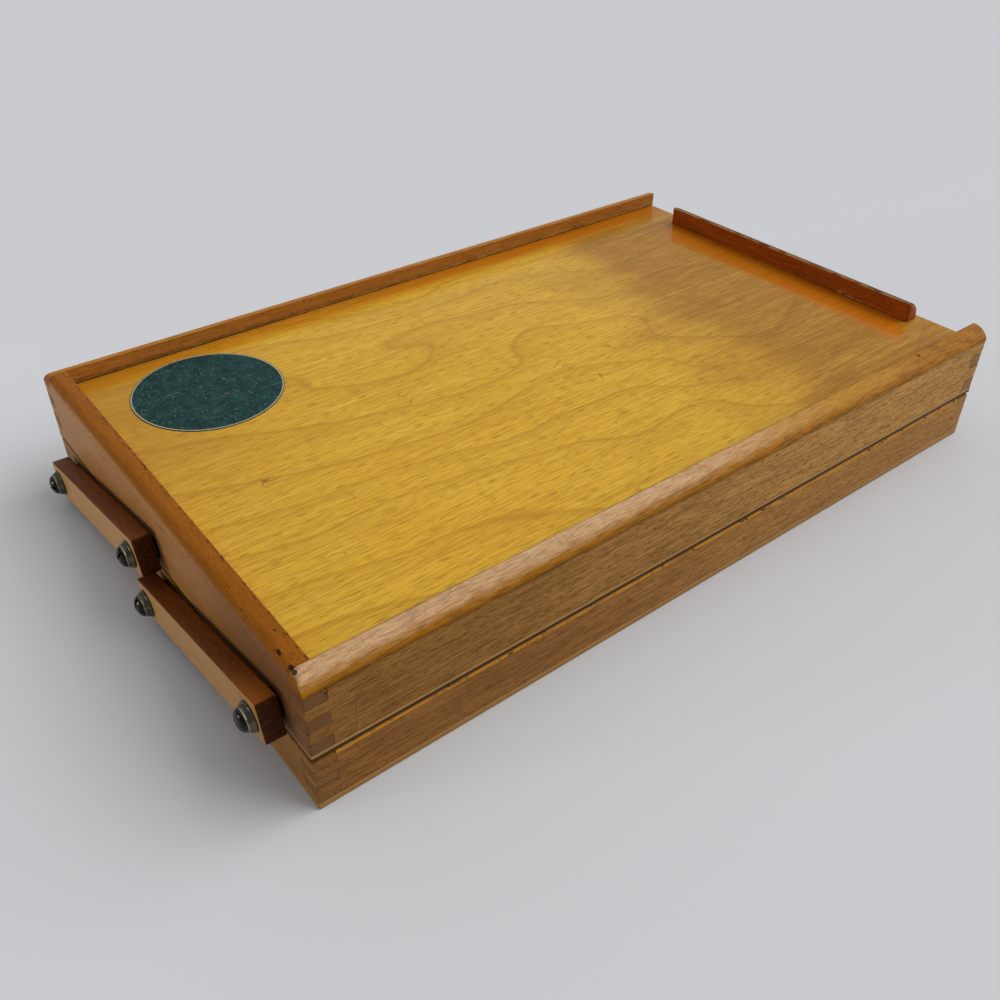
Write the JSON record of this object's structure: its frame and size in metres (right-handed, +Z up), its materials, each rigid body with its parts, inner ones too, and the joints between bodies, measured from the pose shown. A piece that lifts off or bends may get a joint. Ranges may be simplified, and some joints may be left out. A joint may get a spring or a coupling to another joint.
{
  "type": "accordion pencil box",
  "caption": "Flat wooden pencil box: finger-jointed trays on parallel side links, the upper tray swings up and back, and a varnished lid slides out of rounded rails.",
  "frame": {"origin": "on the table, under the middle of the box", "axes": "+X along the length to the right, the way the lid slides out; -Y is the front; +Z is up"},
  "size_m": [0.35, 0.205, 0.0534],
  "materials": {
    "beech_walls": "varnished beech, satin",
    "beech_ends": "varnished beech, satin",
    "plywood_bottoms": "thin plywood, light varnish",
    "lid_veneer": "beech veneer, yellowed gloss varnish",
    "pull_beech": "dark stained beech, worn edges",
    "label": "printed foil, dark green, scratched",
    "link_beech": "varnished beech, worn",
    "steel_fittings": "dull plated steel"
  },
  "bodies": {
    "lower_tray": {"lower_front_wall": "beech_walls", "lower_back_wall": "beech_walls", "lower_left_end": "beech_ends", "lower_right_end": "beech_ends", "lower_bottom": "plywood_bottoms", "screw_left_front_lower": "steel_fittings", "screw_left_rear_lower": "steel_fittings", "screw_right_front_lower": "steel_fittings", "screw_right_rear_lower": "steel_fittings", "cup_left_front_lower": "steel_fittings", "cup_left_rear_lower": "steel_fittings", "cup_right_front_lower": "steel_fittings", "cup_right_rear_lower": "steel_fittings", "spacer_left_front_lower": "steel_fittings", "spacer_left_rear_lower": "steel_fittings", "spacer_right_front_lower": "steel_fittings", "spacer_right_rear_lower": "steel_fittings"},
    "left_rear_link": {"link_left_rear": "link_beech"},
    "upper_tray": {"upper_front_wall": "beech_walls", "upper_back_wall": "beech_walls", "upper_left_end": "beech_ends", "upper_right_end": "beech_ends", "upper_bottom": "plywood_bottoms", "screw_left_front_upper": "steel_fittings", "screw_left_rear_upper": "steel_fittings", "screw_right_front_upper": "steel_fittings", "screw_right_rear_upper": "steel_fittings", "cup_left_front_upper": "steel_fittings", "cup_left_rear_upper": "steel_fittings", "cup_right_front_upper": "steel_fittings", "cup_right_rear_upper": "steel_fittings", "spacer_left_front_upper": "steel_fittings", "spacer_left_rear_upper": "steel_fittings", "spacer_right_front_upper": "steel_fittings", "spacer_right_rear_upper": "steel_fittings"},
    "lid": {"lid_panel": "lid_veneer", "lid_pull": "pull_beech", "lid_label": "label"},
    "left_front_link": {"link_left_front": "link_beech"},
    "right_rear_link": {"link_right_rear": "link_beech"},
    "right_front_link": {"link_right_front": "link_beech"}
  },
  "joints": [
    {"name": "left_rear_link_swing", "type": "hinge", "parent": "lower_tray", "child": "left_rear_link", "pos_m": [-0.1672, 0.0845, 0.0114], "axis": [-1, 0, 0], "range_deg": [0, 154.4]},
    {"name": "upper_tray_level", "type": "hinge", "parent": "left_rear_link", "child": "upper_tray", "pos_m": [-0.1672, 0.0025, 0.03], "axis": [1, 0, 0], "range_deg": [0, 154.4]},
    {"name": "lid_slide", "type": "slide", "parent": "upper_tray", "child": "lid", "axis": [1, 0, 0], "range_m": [0, 0.3]},
    {"name": "left_front_link_swing", "type": "hinge", "parent": "lower_tray", "child": "left_front_link", "pos_m": [-0.1672, -0.0025, 0.0114], "axis": [-1, 0, 0], "range_deg": [0, 154.4]},
    {"name": "right_rear_link_swing", "type": "hinge", "parent": "lower_tray", "child": "right_rear_link", "pos_m": [0.1672, 0.0845, 0.0114], "axis": [-1, 0, 0], "range_deg": [0, 154.4]},
    {"name": "right_front_link_swing", "type": "hinge", "parent": "lower_tray", "child": "right_front_link", "pos_m": [0.1672, -0.0025, 0.0114], "axis": [-1, 0, 0], "range_deg": [0, 154.4]}
  ],
  "couplings": [
    {"joint": "upper_tray_level", "follows": "left_rear_link_swing", "ratio": 1},
    {"joint": "left_front_link_swing", "follows": "left_rear_link_swing", "ratio": 1},
    {"joint": "right_rear_link_swing", "follows": "left_rear_link_swing", "ratio": 1},
    {"joint": "right_front_link_swing", "follows": "left_rear_link_swing", "ratio": 1}
  ]
}
